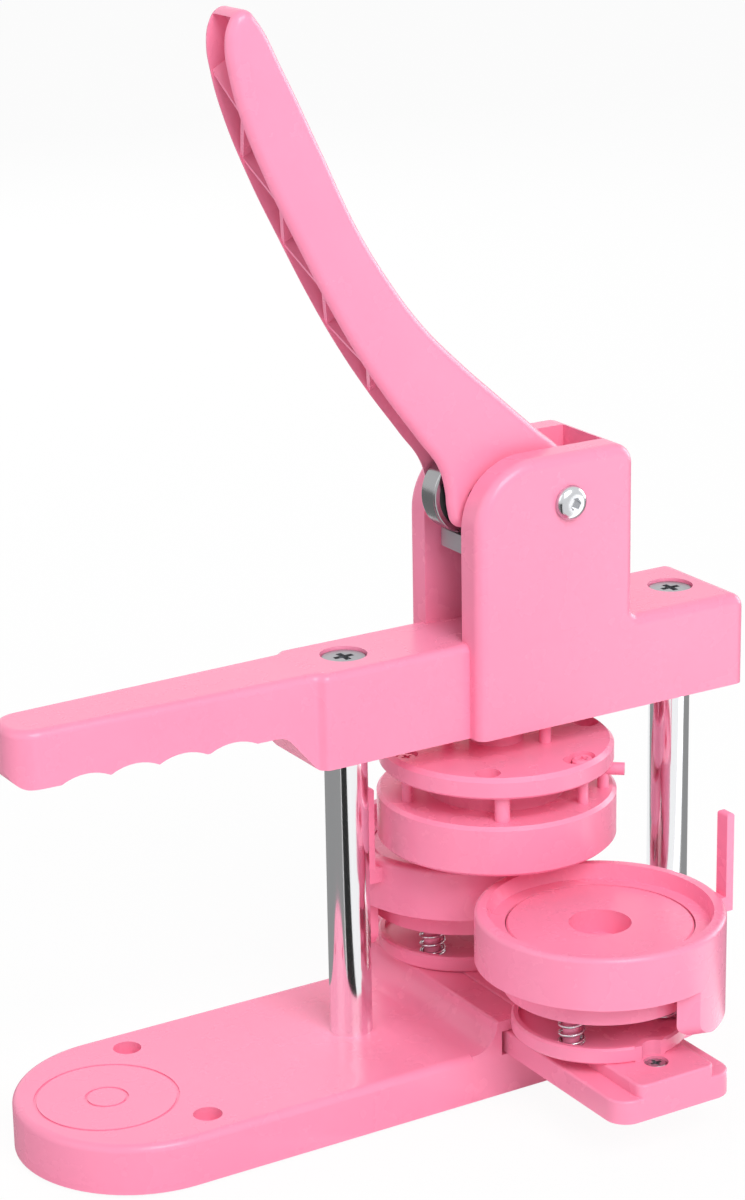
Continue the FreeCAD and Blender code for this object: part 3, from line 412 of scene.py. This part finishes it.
# %% Outlines in the side view
# Points are (back, up) in millimetres from the pivot.
back_edge = [(-100.6, 158.8), (-91.9, 143.2), (-79.8, 118.6), (-67.6, 93.6), (-57.0, 76.6), (-45.0, 60.8),
             (-31.2, 46.9), (-16.4, 33.6), (-2.2, 21.0), (7.0, 13.0)]
heel = [(12.0, 5.0), (12.6, -3.0), (9.5, -8.8), (3.5, -10.6), (-3.5, -8.6), (-18.0, -7.9), (-29.5, -7.4),
        (-34.4, -5.2), (-36.2, -0.5), (-37.0, 6.0)]
front_edge = [(-39.2, 13.6), (-46.5, 23.6), (-58.2, 39.2), (-68.4, 54.4), (-77.2, 69.4), (-88.0, 90.0),
              (-98.4, 111.0), (-106.2, 130.2), (-109.6, 142.6), (-110.7, 151.0)]
tip = [(-109.6, 157.2), (-106.8, 160.9), (-103.4, 161.3)]
lever_wall, lever_half, lever_round = 2.9, 8.3, 3.2
sleeve_bore, axle_bore, axle_place, bore_length = 5.02, 3.02, (-27.1, 3.2), 30.0
normal = Vector((0.86, 0.51))
inside = [(u - lever_wall * normal[0], v - lever_wall * normal[1]) for u, v in back_edge[:-2]]
channel = [*inside, (-11.1, 22.0), (-11.1, -30.0), (-60.0, -30.0), (-80.0, 10.0), (-125.0, 90.0),
           (-130.0, 159.4), (-108.0, 159.6), (-105.0, 159.0)]
side_view = Matrix(((0, 0, 1, 0), (1, 0, 0, pivot_y), (0, 1, 0, pivot_z), (0, 0, 0, 1)))


# %% Plate from an outline
def plate(name, outline, half, rounding, handle):
    """Flat moulding across X from a closed side outline, with rounded edges."""
    curve = bpy.data.curves.new(name, "CURVE")
    curve.dimensions = "2D"
    curve.fill_mode = "BOTH"
    curve.resolution_u = 8
    curve.extrude = (half - rounding) / 1000
    curve.bevel_depth = rounding / 1000
    curve.bevel_resolution = 5
    curve.offset = -rounding / 1000
    line = curve.splines.new("BEZIER")
    line.bezier_points.add(len(outline) - 1)
    for spot, (back, up) in zip(line.bezier_points, outline):
        spot.co = (back / 1000, up / 1000, 0.0)
        spot.handle_left_type = handle
        spot.handle_right_type = handle
    line.use_cyclic_u = True
    shape = bmesh.new()
    shape.from_mesh(mesh_of_curve(name, curve))
    bmesh.ops.remove_doubles(shape, verts=shape.verts, dist=1e-6)
    bmesh.ops.recalc_face_normals(shape, faces=shape.faces)
    if shape.calc_volume(signed=True) < 0:
        bmesh.ops.reverse_faces(shape, faces=shape.faces)
    print(name, "open edges", sum(not edge.is_manifold for edge in shape.edges),
          "volume", round(shape.calc_volume(signed=True) * 1e6, 2), "cm3")
    return to_object(name, shape, side_view)


def cross_bar(radius, back, up):
    """Round bar across X at a place in the side view, to cut a bore with."""
    shape = bmesh.new()
    bmesh.ops.create_cone(shape, cap_ends=True, segments=48, radius1=radius / 1000, radius2=radius / 1000,
                          depth=bore_length / 1000, matrix=Matrix.Translation((back / 1000, up / 1000, 0)))
    return to_object("bore", shape, side_view)

# %% Mould the lever
lever = plate("lever_moulding", [*back_edge, *heel, *front_edge, *tip], lever_half, lever_round, "AUTO")
cut_away(lever, plate("channel_plug", channel, lever_half - lever_wall, 0.0, "VECTOR"))
cut_away(lever, cross_bar(sleeve_bore, 0.0, 0.0))
cut_away(lever, cross_bar(axle_bore, *axle_place))
finish_piece(lever, pink, "lever")
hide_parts("lever")
print("lever faces", len(lever.data.polygons), "size in mm", [round(span * 1000, 1) for span in lever.dimensions])

# %% Ribs
rib_ends = [front_edge[2], (-65.2, 49.4), (-73.0, 62.2), (-80.4, 75.4), (-87.4, 88.8), (-94.2, 102.4),
            (-100.6, 116.2), front_edge[7], front_edge[8]]
rib_depth, rib_thick, rib_inset, rib_bite = 12.5, 1.5, 0.7, 0.3
ribs = bmesh.new()
across = lever_half - lever_wall + rib_bite
deep = Vector((normal[0], normal[1], 0.0)).normalized()
for i, (low, high) in enumerate(zip(rib_ends, rib_ends[1:])):
    side = across if i % 2 else -across
    start = Vector((*low, side)) + deep * rib_inset
    end = Vector((*high, -side)) + deep * rib_inset
    along = end - start
    thick = along.cross(deep).normalized()
    centre = (start + end) / 2 + deep * rib_depth / 2
    columns = (along, deep * rib_depth, thick * rib_thick, centre)
    box = Matrix([[c[row] / 1000 for c in columns] for row in range(3)] + [[0, 0, 0, 1]])
    bmesh.ops.create_cube(ribs, size=1.0, matrix=box)
bmesh.ops.recalc_face_normals(ribs, faces=ribs.faces)
rib_piece = to_object("lever_ribs", ribs, side_view)
finish_piece(rib_piece, pink, "lever")
print("ribs", len(rib_ends) - 1)

# %% Hub
hub_out, hub_in, hub_half = 0.0108, 0.00502, 0.0105
hub_ring = [(hub_in, -hub_half), (hub_out, -hub_half), (hub_out, hub_half), (hub_in, hub_half),
            (hub_in, -hub_half)]
hub = to_object("lever_hub", spun(hub_ring), side_view)
finish_piece(hub, pink, "lever")
print("hub length in mm", 2000 * hub_half)

# %% [markdown]
# ## Springs
# A wound spring is one wire. Its ends are closed: the first and last turns lie flat on their seats, and
# the turns between climb evenly. A NURBS spline through points on the helix gives a smooth wire, and a
# round bevel gives it thickness.

# %% Wind one spring
closed_turns, points_per_turn, seat_share = 1.5, 16, 0.55


def wind_spring(name, centre, radius, wire, turns, low, high, body, node):
    """Closed compression spring between two levels, riding on a body."""
    curve = bpy.data.curves.new(name, "CURVE")
    curve.dimensions = "3D"
    curve.bevel_depth = wire / 2
    curve.bevel_resolution = 5
    curve.use_fill_caps = True
    curve.resolution_u = 6
    steps = int((turns + closed_turns) * points_per_turn)
    line = curve.splines.new("NURBS")
    line.points.add(steps)
    for i in range(steps + 1):
        done = i / steps * (turns + closed_turns)
        climb = min(max((done - closed_turns / 2) / turns, 0.0), 1.0)
        angle = done * 2 * math.pi
        height = low + wire * seat_share + climb * (high - low - wire * 2 * seat_share)
        line.points[i].co = (centre[0] + radius * math.cos(angle), centre[1] + radius * math.sin(angle),
                             height, 1.0)
    line.order_u = 4
    line.use_endpoint_u = True
    mesh = mesh_of_curve(name, curve)
    spring = bpy.data.objects.new(name, mesh)
    bpy.context.scene.collection.objects.link(spring)
    mesh.materials.clear()
    mesh.materials.append(steel)
    for face in mesh.polygons:
        face.use_smooth = True
    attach(spring, body)
    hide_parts(node)
    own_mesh(spring)


# %% Die springs and ram spring
die_low, die_high, die_sink, leg_circle = 0.0303, 0.0420, 0.0048, 0.021
die_radius, die_wire, die_turns = 0.00395, 0.0011, 3.5
for label, die_x in (("front", 0.0595), ("rear", -0.0225)):
    for i in range(3):
        angle = math.radians(-60 + 120 * i)
        centre = (die_x + leg_circle * math.cos(angle), leg_circle * math.sin(angle))
        wind_spring(f"{label}_die_spring_{i}", centre, die_radius, die_wire, die_turns, die_low, die_high,
                    "slide", f"{label}_springs")
ram_low, ram_high, ram_sink = 0.1473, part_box("pressure_plate")[0][2], 0.0104
ram_radius, ram_wire, ram_turns = 0.0084, 0.002, 4.5
wind_spring("ram_spring", (0.0, 0.0), ram_radius, ram_wire, ram_turns, ram_low, ram_high,
            "frame", "ram_return_spring")
print("springs wound")
